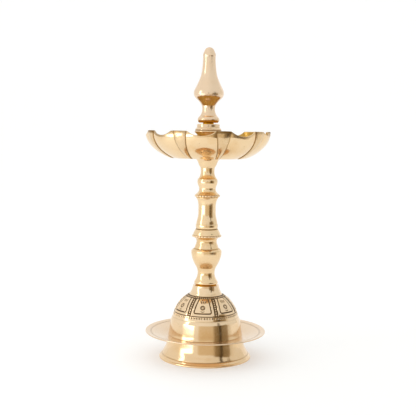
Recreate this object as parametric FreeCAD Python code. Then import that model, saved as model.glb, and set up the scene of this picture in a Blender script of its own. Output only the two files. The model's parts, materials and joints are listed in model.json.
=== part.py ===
import FreeCAD, Part
import math
import os

# Standing brass oil lamp, in millimetres.
# The origin is the centre of the foot's bottom face and +Z is up the lamp's axis.
# Sizes along the axis are heights above the floor.

# Foot, drip plate and bell
FOOT_BOTTOM_R = 45.6
FOOT_TOP_R = 37.0
FOOT_WALL = 3.0
FOOT_LINE_Z = 4.3
FOOT_LINE_R = 42.85
PLATE_R = 59.5
PLATE_HOLE_R = 30.0
PLATE_SEAT_R = 38.2
PLATE_UNDER_Z = 21.9
PLATE_TOP_Z = 23.1
PLATE_RIM_RISE = 3.8
PLATE_LINE_R = 53.6
BELL_FOOT_R = 36.9
BELL_TOP_Z = 72.2
BELL_TOP_R = 12.8

# Stem
STEM_FOOT_Z = 72.9
LOWER_FLANGE_Z = 122.0
UPPER_FLANGE_Z = 161.6
STEM_TOP_Z = 197.0
STEM_TOP_R = 12.2
COLUMN_R = 8.6
SPIGOT_R = 5.0
SPIGOT_LENGTH = 8.0

# Bead rings round the two flanges
LOWER_RING_R = 14.6
UPPER_RING_R = 12.6
RING_SEAT = 1.6
RING_HEIGHT = 1.9
BEAD_WIDTH = 3.4
BEAD_GROOVE_R = 0.65

# Dish
DISH_UNDER_Z = 197.6
DISH_RIM_Z = 224.0
DISH_RIM_R = 60.3
DISH_FLOOR_R = 36.0
DISH_WALL = 2.0
LOBES = 9
FIRST_FLUTE_DEG = 4.0
FLUTE_RIM_DEG = 13.5
FLUTE_FLOOR_DEG = 5.0
LOBE_BULGE = 1.5
FLUTE_BULGE = 0.8
REST_DEPTH = 5.0
REST_WIDTH = 27.0

# Hub in the dish, and finial
HUB_SEAT_Z = 199.8
HUB_TOP_Z = 230.7
HUB_TIER_R = 11.2
HUB_FLANGE_R = 13.2
HUB_NECK_R = 8.5
HUB_FOOT_R = 15.0
FINIAL_Z = 232.0
FINIAL_TOP_Z = 305.0

# Studs that screw into the part below: radius, length below the seat, length above it
STEM_STUD_R = 5.0
STEM_STUD_LENGTH = 12.0
TOP_STUD_R = 4.0
TOP_STUD_LENGTH = 10.0
STUD_ROOT = 14.0
STUD_BEVEL = 0.6
BORE_SPARE = 1.6
RUNNING_GAP = 0.05

# Washers at the three screw joints
STEM_WASHER_R = 10.2
DISH_WASHER_R = 11.4
FINIAL_WASHER_R = 5.3


def line_to(r, z):
    """A straight step of an outline, to radius r at height z."""
    return ("line", (r, z))


def arc_to(through, end):
    """A round step of an outline, through one point to another."""
    return ("arc", through, end)


def curve_to(*points):
    """A smooth step of an outline, through several points."""
    return ("curve",) + points


def outline_edges(start, steps):
    """The edges of an outline in the XZ plane."""
    edges = []
    here = FreeCAD.Vector(start[0], 0, start[1])
    for step in steps:
        points = [FreeCAD.Vector(r, 0, z) for r, z in step[1:]]
        if step[0] == "line":
            edges.append(Part.makeLine(here, points[0]))
        elif step[0] == "arc":
            edges.append(Part.Arc(here, points[0], points[1]).toShape())
        else:
            spline = Part.BSplineCurve()
            spline.interpolate([here] + points)
            edges.append(spline.toShape())
        here = points[-1]
    edges.append(Part.makeLine(here, FreeCAD.Vector(start[0], 0, start[1])))
    return edges


def turned(start, steps):
    """A solid turned round the Z axis from a closed outline."""
    face = Part.Face(Part.Wire(outline_edges(start, steps)))
    return face.revolve(FreeCAD.Vector(0, 0, 0), FreeCAD.Vector(0, 0, 1), 360)


def cylinder(radius, low_z, high_z):
    """An upright cylinder on the lamp's axis."""
    return Part.makeCylinder(radius, high_z - low_z, FreeCAD.Vector(0, 0, low_z))


def polar(radius, degrees, z):
    """The point at a radius and an angle round the lamp's axis."""
    angle = math.radians(degrees)
    return FreeCAD.Vector(radius * math.cos(angle), radius * math.sin(angle), z)


def ring_groove(radius, z, width):
    """A thin round-bottomed ring that cuts a turned line."""
    return Part.makeTorus(radius, width / 2, FreeCAD.Vector(0, 0, z))


def washer(outer_r, stud_r, low_z, high_z):
    """A flat washer round a stud."""
    disc = cylinder(outer_r, low_z, high_z)
    return disc.cut(cylinder(stud_r + RUNNING_GAP, low_z, high_z))


def stud(radius, seat_z, length):
    """A stud that stands out below seat_z, with a bevelled tip."""
    tip_z = seat_z - length
    return turned(
        (0, tip_z),
        [
            line_to(radius - STUD_BEVEL, tip_z),
            line_to(radius, tip_z + STUD_BEVEL),
            line_to(radius, seat_z + STUD_ROOT),
            line_to(0, seat_z + STUD_ROOT),
        ],
    )


def foot_ring():
    """The hollow foot, a flared ring with a turned line round its rim."""
    body = turned(
        (FOOT_BOTTOM_R - 0.2, 0),
        [
            arc_to((FOOT_BOTTOM_R - 0.1, 0.8), (44.7, 1.9)),
            line_to(FOOT_LINE_R, FOOT_LINE_Z),
            curve_to((42.15, 5.5), (41.2, 7.2), (40.15, 9.1), (38.85, 12.6), (38.0, 16.4)),
            line_to(FOOT_TOP_R, PLATE_UNDER_Z),
            line_to(FOOT_TOP_R - FOOT_WALL, PLATE_UNDER_Z),
            line_to(35.1, 16.2),
            curve_to((35.9, 12.8), (37.1, 9.2), (38.7, 6.2), (40.2, 3.4)),
            line_to(42.0, 0),
        ],
    )
    return body.cut(ring_groove(FOOT_LINE_R, FOOT_LINE_Z, 0.8))


def drip_plate():
    """The saucer between the foot and the bell: a flat seat, and a rising brim with a turned line."""
    brim_under_z = PLATE_UNDER_Z + PLATE_RIM_RISE
    brim_top_z = PLATE_TOP_Z + PLATE_RIM_RISE
    body = turned(
        (PLATE_HOLE_R, PLATE_UNDER_Z),
        [
            line_to(PLATE_SEAT_R + 0.2, PLATE_UNDER_Z),
            line_to(PLATE_R - 0.4, brim_under_z),
            arc_to((PLATE_R, brim_under_z + 0.7), (PLATE_R - 0.4, brim_top_z)),
            line_to(PLATE_SEAT_R, PLATE_TOP_Z),
            line_to(PLATE_HOLE_R, PLATE_TOP_Z),
        ],
    )
    share = (PLATE_LINE_R - PLATE_SEAT_R) / (PLATE_R - 0.4 - PLATE_SEAT_R)
    return body.cut(ring_groove(PLATE_LINE_R, PLATE_TOP_Z + PLATE_RIM_RISE * share, 0.7))


def bell_dome():
    """The hollow bell: a steep skirt, a step, a dome, a cone on top and a socket for the stem's stud."""
    bore_r = STEM_STUD_R + RUNNING_GAP
    shoulder = [(30.6, 47.8), (26.8, 54.4), (22.4, 59.3), (17.6, 62.8)]
    body = turned(
        (BELL_FOOT_R, PLATE_TOP_Z),
        [
            curve_to((36.2, 25.4), (35.75, 28.2), (35.3, 31.4), (34.85, 34.6), (34.4, 37.6)),
            line_to(34.3, 38.1),
            line_to(32.9, 40.9),
            curve_to((32.45, 42.2), *shoulder),
            line_to(16.6, 63.3),
            line_to(15.9, 64.0),
            arc_to((13.9, 67.8), (BELL_TOP_R, BELL_TOP_Z)),
            line_to(bore_r, BELL_TOP_Z),
            line_to(bore_r, 56.5),
            line_to(10.0, 56.5),
            line_to(11.0, 60.0),
            line_to(16.0, 60.0),
            curve_to((20.6, 57.1), (24.8, 52.8), (28.1, 46.8), (30.1, 40.6), (31.9, 34.8)),
            line_to(33.4, PLATE_TOP_Z),
        ],
    )
    return body.cut(ring_groove(16.9, 63.25, 0.7))


def stem_lower():
    """The stem's vase-shaped lower section, up to the wide flange."""
    body = turned(
        (0, STEM_FOOT_Z),
        [
            line_to(10.4, STEM_FOOT_Z),
            curve_to((11.3, 73.5), (11.75, 74.7), (11.3, 76.2)),
            line_to(9.9, 78.3),
            curve_to((8.8, 81.6), (8.5, 85.8), (9.4, 89.4)),
            curve_to((11.1, 92.3), (13.5, 97.4), (14.9, 103.4), (15.0, 106.4)),
            line_to(13.4, 108.2),
            line_to(12.2, 108.5),
            curve_to((11.2, 111.4), (10.0, 115.4), (10.7, 118.3), (12.6, 119.9)),
            line_to(LOWER_RING_R - RING_SEAT, 120.1),
            line_to(LOWER_RING_R - RING_SEAT, LOWER_FLANGE_Z),
            line_to(0, LOWER_FLANGE_Z),
        ],
    )
    body = body.cut(cylinder(SPIGOT_R + RUNNING_GAP, LOWER_FLANGE_Z - SPIGOT_LENGTH, LOWER_FLANGE_Z))
    return body.cut(cylinder(STEM_STUD_R + RUNNING_GAP, STEM_FOOT_Z, STEM_FOOT_Z + STUD_ROOT))


def stem_column():
    """The stem's plain column, with a banded foot and a flared head."""
    body = turned(
        (0, LOWER_FLANGE_Z - SPIGOT_LENGTH),
        [
            line_to(SPIGOT_R, LOWER_FLANGE_Z - SPIGOT_LENGTH),
            line_to(SPIGOT_R, LOWER_FLANGE_Z),
            line_to(13.9, LOWER_FLANGE_Z),
            line_to(13.3, 123.2),
            arc_to((12.9, 124.6), (12.0, 126.2)),
            line_to(11.3, 127.6),
            line_to(10.5, 127.9),
            line_to(10.5, 128.3),
            arc_to((10.95, 130.3), (10.85, 132.4)),
            line_to(10.4, 132.9),
            curve_to((9.9, 136.2), (9.0, 139.8), (COLUMN_R, 146.0)),
            line_to(COLUMN_R, 151.0),
            curve_to((9.2, 155.0), (10.2, 157.6), (11.2, 159.0)),
            line_to(UPPER_RING_R - RING_SEAT, 159.7),
            line_to(UPPER_RING_R - RING_SEAT, UPPER_FLANGE_Z),
            line_to(SPIGOT_R, UPPER_FLANGE_Z),
            line_to(SPIGOT_R, UPPER_FLANGE_Z + SPIGOT_LENGTH),
            line_to(0, UPPER_FLANGE_Z + SPIGOT_LENGTH),
        ],
    )
    return body


def stem_upper():
    """The stem's upper section: cove, round bead, waist and the flare under the dish."""
    bore_low_z = DISH_UNDER_Z - TOP_STUD_LENGTH - BORE_SPARE
    stud_bore = cylinder(TOP_STUD_R + RUNNING_GAP, bore_low_z, STEM_TOP_Z)
    body = turned(
        (0, UPPER_FLANGE_Z),
        [
            line_to(12.0, UPPER_FLANGE_Z),
            line_to(11.2, 162.5),
            curve_to((9.3, 164.1), (8.15, 167.8), (9.2, 171.3), (9.9, 173.8), (9.8, 176.2)),
            line_to(9.4, 177.4),
            line_to(8.5, 178.2),
            curve_to((7.3, 180.8), (6.75, 185.5), (7.0, 188.2)),
            line_to(7.7, 189.2),
            line_to(8.3, 190.2),
            curve_to((9.3, 192.7), (10.5, 195.2), (STEM_TOP_R, STEM_TOP_Z)),
            line_to(0, STEM_TOP_Z),
        ],
    )
    body = body.cut(cylinder(SPIGOT_R + RUNNING_GAP, UPPER_FLANGE_Z, UPPER_FLANGE_Z + SPIGOT_LENGTH))
    return body.cut(stud_bore)


def bead_ring(outer_r, low_z):
    """A ring with round beads, made by cutting upright grooves in its edge."""
    high_z = low_z + RING_HEIGHT
    inner_r = outer_r - RING_SEAT + RUNNING_GAP
    middle_z = (low_z + high_z) / 2
    ring = turned(
        (inner_r, low_z),
        [
            line_to(outer_r - 0.9, low_z),
            arc_to((outer_r, middle_z), (outer_r - 0.9, high_z)),
            line_to(inner_r, high_z),
        ],
    )
    count = round(2 * math.pi * outer_r / BEAD_WIDTH)
    grooves = []
    for index in range(count):
        place = polar(outer_r, 360 * index / count, low_z)
        grooves.append(Part.makeCylinder(BEAD_GROOVE_R, RING_HEIGHT, place))
    return ring.cut(Part.makeCompound(grooves))


def dish_radius(z):
    """The dish's outer radius at height z: nearly upright at the rim, curving in to the floor."""
    drop = (DISH_RIM_Z - z) / (DISH_RIM_Z - DISH_UNDER_Z)
    return DISH_FLOOR_R + (DISH_RIM_R - DISH_FLOOR_R) * (1 - drop ** 2.2) ** 0.85


def flute_width(z):
    """The angle in degrees that a flute takes at height z. It narrows towards the floor."""
    share = (z - DISH_UNDER_Z) / (DISH_RIM_Z - DISH_UNDER_Z)
    return FLUTE_FLOOR_DEG + (FLUTE_RIM_DEG - FLUTE_FLOOR_DEG) * share ** 0.8


def dish_section(radius, z):
    """The dish's closed outline at height z: nine wide lobes with narrow flutes between them."""
    half_flute = flute_width(z) / 2
    pitch = 360 / LOBES
    edges = []
    for index in range(LOBES):
        middle = FIRST_FLUTE_DEG + pitch * index
        stops = [
            (middle - half_flute, radius),
            (middle, radius + FLUTE_BULGE),
            (middle + half_flute, radius),
            (middle + pitch / 2, radius + LOBE_BULGE),
            (middle + pitch - half_flute, radius),
        ]
        points = [polar(stop_r, degrees, z) for degrees, stop_r in stops]
        edges.append(Part.Arc(points[0], points[1], points[2]).toShape())
        edges.append(Part.Arc(points[2], points[3], points[4]).toShape())
    return Part.Wire(edges)


def dish_outside():
    """The dish as a solid block."""
    levels = [DISH_UNDER_Z, 198.4, 200.0, 202.6, 206.4, 211.4, 217.4, DISH_RIM_Z]
    return Part.makeLoft([dish_section(dish_radius(z), z) for z in levels], True, False)


def dish_inside():
    """The room inside the dish. Its wall is set in square to the outside by DISH_WALL."""
    step = 0.05
    sections = [dish_section(DISH_FLOOR_R, HUB_SEAT_Z)]
    for z in [199.4, 202.0, 206.0, 211.2, 217.4]:
        slope = (dish_radius(z + step) - dish_radius(z - step)) / (2 * step)
        square = math.hypot(1, slope)
        radius = dish_radius(z) - DISH_WALL / square
        sections.append(dish_section(radius, z + DISH_WALL * slope / square))
    sections.append(dish_section(DISH_RIM_R - DISH_WALL, DISH_RIM_Z))
    return Part.makeLoft(sections, True, False)


def wick_rests():
    """Nine round cutters that dip the rim in the middle of each lobe."""
    radius = (REST_WIDTH ** 2 / 4 + REST_DEPTH ** 2) / (2 * REST_DEPTH)
    pitch = 360 / LOBES
    cutters = []
    for index in range(LOBES):
        degrees = FIRST_FLUTE_DEG + pitch * (index + 0.5)
        start = polar(DISH_RIM_R - 16, degrees, DISH_RIM_Z - REST_DEPTH + radius)
        cutters.append(Part.makeCylinder(radius, 24.0, start, polar(1, degrees, 0)))
    return Part.makeCompound(cutters)


def dish():
    """The lobed oil dish, with a hole in its floor for the stud."""
    shell = dish_outside().cut(dish_inside())
    shell = shell.cut(wick_rests())
    return shell.cut(cylinder(TOP_STUD_R + RUNNING_GAP, DISH_UNDER_Z, HUB_SEAT_Z))


def dish_hub():
    """The hub in the dish: a foot, a neck, a wide flange and a small top tier with a threaded hole."""
    body = turned(
        (0, HUB_SEAT_Z),
        [
            line_to(HUB_FOOT_R, HUB_SEAT_Z),
            arc_to((HUB_FOOT_R + 0.5, HUB_SEAT_Z + 1.0), (HUB_FOOT_R - 0.5, HUB_SEAT_Z + 2.0)),
            line_to(11.6, HUB_SEAT_Z + 2.7),
            curve_to((9.6, 205.6), (HUB_NECK_R, 212.0), (9.4, 218.2), (12.0, 221.8)),
            line_to(HUB_FLANGE_R, 222.6),
            arc_to((HUB_FLANGE_R + 0.25, 223.4), (HUB_FLANGE_R - 0.2, 224.2)),
            line_to(12.6, 224.5),
            line_to(12.8, 225.2),
            curve_to((12.4, 226.2), (11.7, 226.9), (HUB_TIER_R, 227.7)),
            line_to(HUB_TIER_R, HUB_TOP_Z - 0.4),
            line_to(HUB_TIER_R - 0.4, HUB_TOP_Z),
            line_to(0, HUB_TOP_Z),
        ],
    )
    bore_r = TOP_STUD_R + RUNNING_GAP
    bore_low_z = FINIAL_Z - TOP_STUD_LENGTH - BORE_SPARE
    body = body.cut(cylinder(bore_r, HUB_SEAT_Z, DISH_UNDER_Z + STUD_ROOT))
    return body.cut(cylinder(bore_r, bore_low_z, HUB_TOP_Z))


def finial():
    """The tall finial: a round bead, a narrow neck, a bulb and a long tapering spire with a domed tip."""
    body = turned(
        (0, FINIAL_Z),
        [
            line_to(9.0, FINIAL_Z),
            arc_to((10.5, 234.4), (9.2, 237.8)),
            line_to(8.3, 238.6),
            curve_to((7.0, 241.2), (6.2, 244.9), (6.6, 248.6)),
            curve_to((8.6, 251.6), (11.5, 254.6), (13.6, 256.7), (14.6, 259.2)),
            curve_to((14.65, 261.6), (13.8, 264.2), (12.0, 267.7), (9.6, 272.9)),
            curve_to((7.7, 278.4), (6.75, 284.4), (6.25, 290.5), (6.15, 295.6)),
            line_to(6.4, 296.4),
            curve_to((6.25, 297.8), (5.5, 299.9), (3.4, 303.6), (0, FINIAL_TOP_Z)),
        ],
    )
    return body.cut(cylinder(TOP_STUD_R + RUNNING_GAP, FINIAL_Z, FINIAL_Z + STUD_ROOT))


def export(name, shape):
    """Write one node's solid."""
    shape.exportStep("parts/" + name + ".step")


def all_nodes():
    """Every node's name and solid, from the floor up."""
    return [
        ("foot_ring", foot_ring()),
        ("drip_plate", drip_plate()),
        ("bell_dome", bell_dome()),
        ("stem_washer", washer(STEM_WASHER_R, STEM_STUD_R, BELL_TOP_Z, STEM_FOOT_Z)),
        ("stem_stud", stud(STEM_STUD_R, STEM_FOOT_Z, STEM_STUD_LENGTH)),
        ("stem_lower", stem_lower()),
        ("lower_bead_ring", bead_ring(LOWER_RING_R, LOWER_FLANGE_Z - RING_HEIGHT)),
        ("stem_column", stem_column()),
        ("upper_bead_ring", bead_ring(UPPER_RING_R, UPPER_FLANGE_Z - RING_HEIGHT)),
        ("stem_upper", stem_upper()),
        ("dish_washer", washer(DISH_WASHER_R, TOP_STUD_R, STEM_TOP_Z, DISH_UNDER_Z)),
        ("dish_stud", stud(TOP_STUD_R, DISH_UNDER_Z, TOP_STUD_LENGTH)),
        ("dish", dish()),
        ("dish_hub", dish_hub()),
        ("finial_washer", washer(FINIAL_WASHER_R, TOP_STUD_R, HUB_TOP_Z, FINIAL_Z)),
        ("finial_stud", stud(TOP_STUD_R, FINIAL_Z, TOP_STUD_LENGTH)),
        ("finial", finial()),
    ]


if __name__ == "__main__":
    os.makedirs("parts", exist_ok=True)
    for node_name, node_shape in all_nodes():
        export(node_name, node_shape)
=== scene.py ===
import json
import math

import bpy
import numpy as np
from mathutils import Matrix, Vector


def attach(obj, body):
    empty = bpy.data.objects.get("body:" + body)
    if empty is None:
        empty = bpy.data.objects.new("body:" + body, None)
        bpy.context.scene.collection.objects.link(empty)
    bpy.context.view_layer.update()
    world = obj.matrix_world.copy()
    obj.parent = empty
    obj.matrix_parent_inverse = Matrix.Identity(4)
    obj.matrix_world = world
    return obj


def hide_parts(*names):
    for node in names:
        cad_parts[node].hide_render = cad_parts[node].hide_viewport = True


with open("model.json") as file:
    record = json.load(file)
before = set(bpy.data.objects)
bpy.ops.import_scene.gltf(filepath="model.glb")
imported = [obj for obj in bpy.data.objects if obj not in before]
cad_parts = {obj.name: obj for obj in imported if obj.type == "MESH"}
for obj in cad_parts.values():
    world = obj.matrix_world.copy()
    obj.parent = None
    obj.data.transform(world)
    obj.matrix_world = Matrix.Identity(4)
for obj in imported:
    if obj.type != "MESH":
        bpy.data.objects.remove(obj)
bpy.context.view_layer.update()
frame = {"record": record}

# Outlines are in millimetres in the row frame: radius from the lamp's axis, height above the floor.
MM = 0.001
TAU = 2 * math.pi

# Levels that several pieces share
PLATE_UNDER = 21.9
PLATE_TOP = 23.1
BRIM_RISE = 3.8
BELL_TOP = 72.2
STEM_FOOT = 72.9
LOWER_FLANGE = 122.0
UPPER_FLANGE = 161.6
STEM_TOP = 197.0
DISH_UNDER = 197.6
DISH_FLOOR = 199.8
DISH_RIM = 224.0
HUB_TOP = 230.7
FINIAL_FOOT = 232.0
FINIAL_TIP = 305.0

# Studs and their holes
STEM_STUD_R = 5.0
TOP_STUD_R = 4.0
STUD_ROOT = 14.0
HOLE_GAP = 0.05
STEM_PITCH = 2.0
TOP_PITCH = 1.5

# Dish
LOBES = 9
FIRST_FLUTE = math.radians(4.0)
DISH_RIM_R = 60.3
DISH_FLOOR_R = 36.0
DISH_WALL = 2.0
LOBE_BULGE = 1.5
FLUTE_BULGE = 0.8
REST_DEPTH = 5.0

# Engraving on the bell: seven panels between columns of beads
PANELS = 7
FIRST_COLUMN = math.radians(-31.0 - 90.0)


# ---------------------------------------------------------------- outlines

def line_to(r, z):
    return ("line", (r, z))


def arc_to(through, end):
    return ("arc", through, end)


def curve_to(*points):
    return ("curve",) + points


def arc_points(a, b, c, count=40):
    """Points on the circle through a, b and c, from a to c."""
    (ax, ay), (bx, by), (cx, cy) = a, b, c
    d = 2 * (ax * (by - cy) + bx * (cy - ay) + cx * (ay - by))
    a2, b2, c2 = ax * ax + ay * ay, bx * bx + by * by, cx * cx + cy * cy
    ux = (a2 * (by - cy) + b2 * (cy - ay) + c2 * (ay - by)) / d
    uy = (a2 * (cx - bx) + b2 * (ax - cx) + c2 * (bx - ax)) / d
    radius = math.hypot(ax - ux, ay - uy)
    start, middle, end = (math.atan2(y - uy, x - ux) for x, y in (a, b, c))
    sweep = (end - start) % TAU
    if (middle - start) % TAU > sweep:
        sweep -= TAU
    angles = start + sweep * np.linspace(0, 1, count)
    return np.stack([ux + radius * np.cos(angles), uy + radius * np.sin(angles)], 1)


def curve_points(points, count=16):
    """A smooth curve through the points (natural cubic spline over chord length)."""
    p = np.array(points, float)
    t = np.concatenate([[0], np.cumsum(np.linalg.norm(np.diff(p, axis=0), axis=1))])
    h = np.diff(t)
    n = len(p)
    system = np.eye(n)
    right = np.zeros((n, 2))
    for i in range(1, n - 1):
        system[i, i - 1 : i + 2] = [h[i - 1], 2 * (h[i - 1] + h[i]), h[i]]
        right[i] = 6 * ((p[i + 1] - p[i]) / h[i] - (p[i] - p[i - 1]) / h[i - 1])
    bend = np.linalg.solve(system, right)
    out = []
    for i in range(n - 1):
        x = np.linspace(0, h[i], count, endpoint=False)[:, None]
        left, ahead = h[i] - x, x
        out.append(
            (bend[i] * left**3 + bend[i + 1] * ahead**3) / (6 * h[i])
            + (p[i] / h[i] - bend[i] * h[i] / 6) * left
            + (p[i + 1] / h[i] - bend[i + 1] * h[i] / 6) * ahead
        )
    return np.concatenate(out + [p[-1:]])


def outline(start, *steps):
    """Close-set points along an outline of straight, round and smooth steps."""
    runs = [np.array([start], float)]
    for step in steps:
        here = tuple(runs[-1][-1])
        if step[0] == "line":
            runs.append(np.array([step[1]], float))
        elif step[0] == "arc":
            runs.append(arc_points(here, step[1], step[2])[1:])
        else:
            runs.append(curve_points([here, *step[1:]])[1:])
    return np.concatenate(runs)


def even_steps(points, spacing):
    """The same line, with its points a fixed distance apart."""
    along = np.concatenate([[0], np.cumsum(np.linalg.norm(np.diff(points, axis=0), axis=1))])
    count = max(2, int(along[-1] / spacing))
    where = np.linspace(0, along[-1], count + 1)
    return np.stack([np.interp(where, along, points[:, k]) for k in (0, 1)], 1)


def polished(points, closed, softness=0.16, turn=5.0, longest=0.9, lines=()):
    """Rounds every corner as hand polishing does, cuts any turned lines, each (r, z, width, depth),
    then keeps only the points that the bends need."""
    fine = 0.04
    if closed:
        points = np.concatenate([points, points[:1]])
    p = even_steps(points, fine)
    reach = int(4 * softness / fine)
    weights = np.exp(-0.5 * (np.arange(-reach, reach + 1) * fine / softness) ** 2)
    weights /= weights.sum()
    if closed:
        body = p[:-1]
        padded = np.concatenate([body[-reach:], body, body[:reach]])
    else:
        flip = np.array([-1, 1])
        padded = np.concatenate([p[reach:0:-1] * flip, p, p[-2 : -reach - 2 : -1] * flip])
    soft = np.stack([np.convolve(padded[:, k], weights, "valid") for k in (0, 1)], 1)
    if not closed:
        soft[0, 0] = soft[-1, 0] = 0.0
    along = np.gradient(soft, axis=0)
    outward = np.stack([along[:, 1], -along[:, 0]], 1) / np.linalg.norm(along, axis=1)[:, None]
    for r, z, width, depth in lines:
        away = np.hypot(soft[:, 0] - r, soft[:, 1] - z)
        soft = soft - outward * (depth * np.exp(-((2 * away / width) ** 2)))[:, None]
    heading = np.unwrap(np.arctan2(*np.gradient(soft, axis=0).T[::-1]))
    bends = np.abs(np.gradient(heading))
    kept = [0]
    turned_by = 0.0
    for i in range(1, len(soft) - 1):
        turned_by += bends[i]
        if turned_by > math.radians(turn) or (i - kept[-1]) * fine > longest:
            kept.append(i)
            turned_by = 0.0
    if not closed:
        kept.append(len(soft) - 1)
    return soft[kept]


# ---------------------------------------------------------------- meshes

def hand_wobble(angle, z, seed):
    """Small unevenness of a hand-finished surface, in millimetres."""
    a, b, c = seed * 1.7, seed * 0.9 + 1.3, seed * 2.3 + 0.4
    return (
        0.022 * np.sin(2 * angle + z / 7 + a)
        + 0.014 * np.sin(3 * angle - z / 4.1 + b)
        + 0.009 * np.sin(5 * angle + z / 2.3 + c)
    )


def signed_volume(mesh):
    """Above zero when the faces of a closed mesh look outward."""
    mesh.calc_loop_triangles()
    places = np.zeros(len(mesh.vertices) * 3)
    mesh.vertices.foreach_get("co", places)
    corners = np.zeros(len(mesh.loop_triangles) * 3, np.int32)
    mesh.loop_triangles.foreach_get("vertices", corners)
    a, b, c = places.reshape(-1, 3)[corners.reshape(-1, 3)].transpose(1, 0, 2)
    return (a * np.cross(b, c)).sum()


def new_mesh(name, vertices, faces):
    """A smooth-shaded mesh object from vertices in millimetres."""
    mesh = bpy.data.meshes.new(name)
    mesh.from_pydata((np.asarray(vertices) * MM).tolist(), [], faces)
    mesh.validate()
    mesh.polygons.foreach_set("use_smooth", [True] * len(mesh.polygons))
    mesh.update()
    mesh.set_sharp_from_angle(angle=math.radians(40))
    if signed_volume(mesh) < 0:
        mesh.flip_normals()
    piece = bpy.data.objects.new(name, mesh)
    bpy.context.scene.collection.objects.link(piece)
    return piece


def set_grime_shade(piece, values):
    """Stores how dark each vertex's marks are, from 0 to 1: residue in grooves and painted shade."""
    layer = piece.data.attributes.new("grime_shade", "FLOAT", "POINT")
    layer.data.foreach_set("value", np.asarray(values, np.float32))


def grid_faces(rows, columns, closed):
    """Quads over a grid whose columns go all the way round, and whose rows may too."""
    faces = []
    for i in range(rows if closed else rows - 1):
        low, high = i * columns, ((i + 1) % rows) * columns
        for j in range(columns):
            k = (j + 1) % columns
            faces.append((low + j, low + k, high + k, high + j))
    return faces


def swept(name, radii, heights, angles, grime_shade=None, closed=True):
    """A body from grids of radius, height and angle, row by row. Open ends close on the axis."""
    rows, columns = radii.shape
    x, y = radii * np.cos(angles), radii * np.sin(angles)
    vertices = np.stack([x, y, heights], -1).reshape(-1, 3)
    faces = grid_faces(rows, columns, closed)
    grime_shade = np.zeros(radii.shape) if grime_shade is None else grime_shade
    grime_shade_level = grime_shade.reshape(-1)
    if not closed:
        low, high = len(vertices), len(vertices) + 1
        ends = [[0, 0, heights[0].mean()], [0, 0, heights[-1].mean()]]
        vertices = np.concatenate([vertices, ends])
        grime_shade_level = np.concatenate([grime_shade_level, [grime_shade[0].mean(), grime_shade[-1].mean()]])
        last = (rows - 1) * columns
        for j in range(columns):
            k = (j + 1) % columns
            faces.append((low, k, j))
            faces.append((high, last + j, last + k))
    piece = new_mesh(name, vertices, faces)
    set_grime_shade(piece, grime_shade_level)
    return piece


def corner_grime_shade(points, closed, reach=1.2, strength=1.0):
    """Residue and painted shade in an outline's hollow corners: how sharply each point bends inward, spread a
    little.
    """
    if closed:
        before, after = np.roll(points, 1, axis=0), np.roll(points, -1, axis=0)
    else:
        before = np.concatenate([points[:1], points[:-1]])
        after = np.concatenate([points[1:], points[-1:]])
    a, b = points - before, after - points
    cross = a[:, 0] * b[:, 1] - a[:, 1] * b[:, 0]
    dot = (a * b).sum(1)
    inward = np.maximum(0, -np.arctan2(cross, dot))
    distance = np.linalg.norm(points[:, None] - points[None], axis=2)
    spread = np.exp(-0.5 * (distance / (reach / 2)) ** 2)
    return np.clip(strength * (spread @ inward) / 1.6, 0, 1)


bodies = {n: b for b, ns in frame["record"]["behaviour"]["bodies"].items() for n in ns}


def fit(piece, node, material):
    """The piece stands for a CAD node: it rides with it, hides it and takes its finish."""
    piece.data.materials.append(material)
    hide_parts(node)
    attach(piece, bodies[node])
    return piece


def turned(name, node, material, points, closed=False, segments=160, seed=1.0, grime_shade_level=1.0, lines=(), cut=None):
    """A lathe-turned piece that stands for a CAD node. cut(radii, heights, angles) may carve it further."""
    p = polished(points, closed, lines=lines, longest=0.9 if cut is None else 0.2)
    angles = np.linspace(0, TAU, segments, endpoint=False)[None, :] + np.zeros((len(p), 1))
    heights = np.repeat(p[:, 1:], segments, axis=1)
    radii = np.repeat(p[:, :1], segments, axis=1)
    share = np.clip(radii / 6, 0, 1)
    radii = radii + share * hand_wobble(angles, heights, seed)
    # Residue and painted shade in the outline's hollow corners
    grime_shade_marks = np.repeat(corner_grime_shade(p, closed, strength=grime_shade_level)[:, None], segments, axis=1)
    if cut is not None:
        radii, grime_shade_marks = cut(radii, heights, angles, grime_shade_marks)
    if not closed:
        radii, heights, angles, grime_shade_marks = (grid[1:-1] for grid in (radii, heights, angles, grime_shade_marks))
    return fit(swept(name, radii, heights, angles, grime_shade_marks, closed), node, material)


def smooth_step(value, edge, width):
    """0 below edge, 1 above it, over a soft width."""
    t = np.clip((value - edge) / width + 0.5, 0, 1)
    return t * t * (3 - 2 * t)


def groove(distance, half_width, soft=0.3):
    """1 on a line and 0 away from it."""
    return 1 - smooth_step(np.abs(distance), half_width, soft)


# ---------------------------------------------------------------- finishes

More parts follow.
